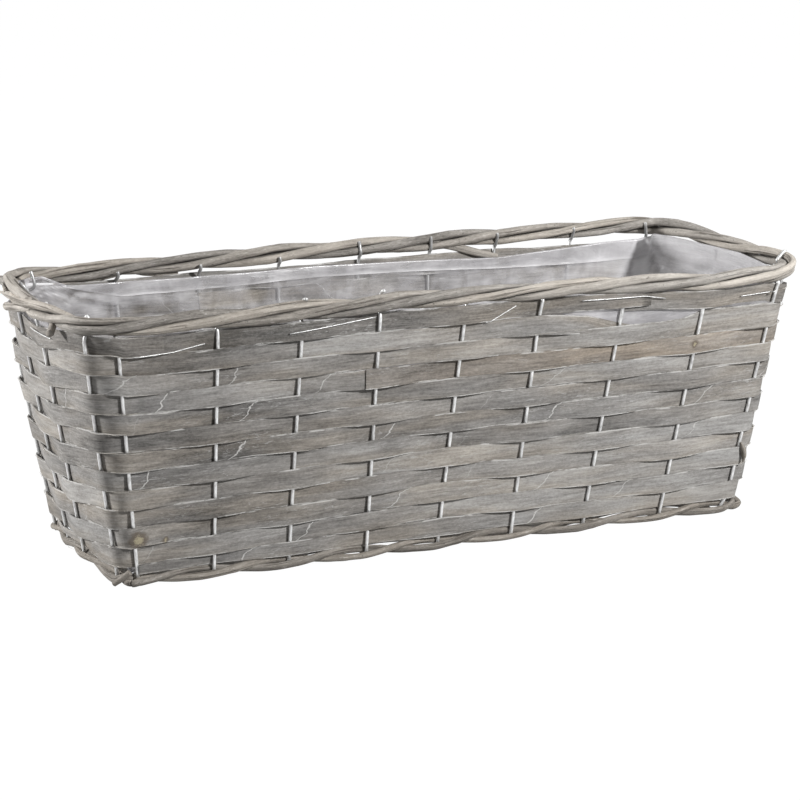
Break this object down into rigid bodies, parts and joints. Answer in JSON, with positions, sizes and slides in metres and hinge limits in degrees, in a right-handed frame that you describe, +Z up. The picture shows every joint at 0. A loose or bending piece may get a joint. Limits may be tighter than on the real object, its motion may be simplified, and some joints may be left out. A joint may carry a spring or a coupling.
{
  "type": "wicker planter",
  "caption": "Rectangular planter basket of flat wood splints woven round wire stakes, with a twisted rod rim, a twined rod border and a clear film liner.",
  "frame": {"origin": "centre of the footprint, on the plane the basket stands on", "axes": "+X along the length, towards the right end as seen in the picture, +Y from the front wall to the back wall, +Z up"},
  "size_m": [0.5324, 0.2142, 0.1853],
  "materials": {
    "splint_wood": "matt, weathered grey limewashed splint",
    "willow_rod": "matt, split willow with pale grain",
    "border_willow": "matt, darker thin willow",
    "galvanised_wire": "dull bright galvanised wire",
    "liner_film": "clear soft film, crumpled",
    "base_wood": "matt, weathered grey splint"
  },
  "bodies": {
    "root": {"splint_round_01": "splint_wood", "splint_round_02": "splint_wood", "splint_round_03": "splint_wood", "splint_round_04": "splint_wood", "splint_round_05": "splint_wood", "splint_round_06": "splint_wood", "splint_round_07": "splint_wood", "splint_round_08": "splint_wood", "splint_round_09": "splint_wood", "splint_round_10": "splint_wood", "splint_round_11": "splint_wood", "splint_round_12": "splint_wood", "splint_round_13": "splint_wood", "stake_front_1": "galvanised_wire", "stake_front_2": "galvanised_wire", "stake_front_3": "galvanised_wire", "stake_front_4": "galvanised_wire", "stake_front_5": "galvanised_wire", "stake_front_6": "galvanised_wire", "stake_front_7": "galvanised_wire", "stake_front_8": "galvanised_wire", "stake_right_1": "galvanised_wire", "stake_right_2": "galvanised_wire", "stake_right_3": "galvanised_wire", "stake_right_4": "galvanised_wire", "stake_back_1": "galvanised_wire", "stake_back_2": "galvanised_wire", "stake_back_3": "galvanised_wire", "stake_back_4": "galvanised_wire", "stake_back_5": "galvanised_wire", "stake_back_6": "galvanised_wire", "stake_back_7": "galvanised_wire", "stake_back_8": "galvanised_wire", "stake_left_1": "galvanised_wire", "stake_left_2": "galvanised_wire", "stake_left_3": "galvanised_wire", "stake_left_4": "galvanised_wire", "stake_front_left": "galvanised_wire", "rim_rod_1": "willow_rod", "rim_rod_2": "willow_rod", "rim_rod_3": "willow_rod", "border_rod_1": "border_willow", "border_rod_2": "border_willow", "base_stick_1": "willow_rod", "base_stick_2": "willow_rod", "base_stick_3": "willow_rod", "base_stick_4": "willow_rod", "base_splint_1": "base_wood", "base_splint_2": "base_wood", "base_splint_3": "base_wood", "base_splint_4": "base_wood", "base_splint_5": "base_wood", "base_splint_6": "base_wood", "tie_wire_1": "galvanised_wire", "tie_wire_2": "galvanised_wire", "tie_wire_3": "galvanised_wire", "tie_wire_4": "galvanised_wire", "tie_wire_5": "galvanised_wire", "tie_wire_6": "galvanised_wire", "liner": "liner_film"}
  },
  "joints": []
}
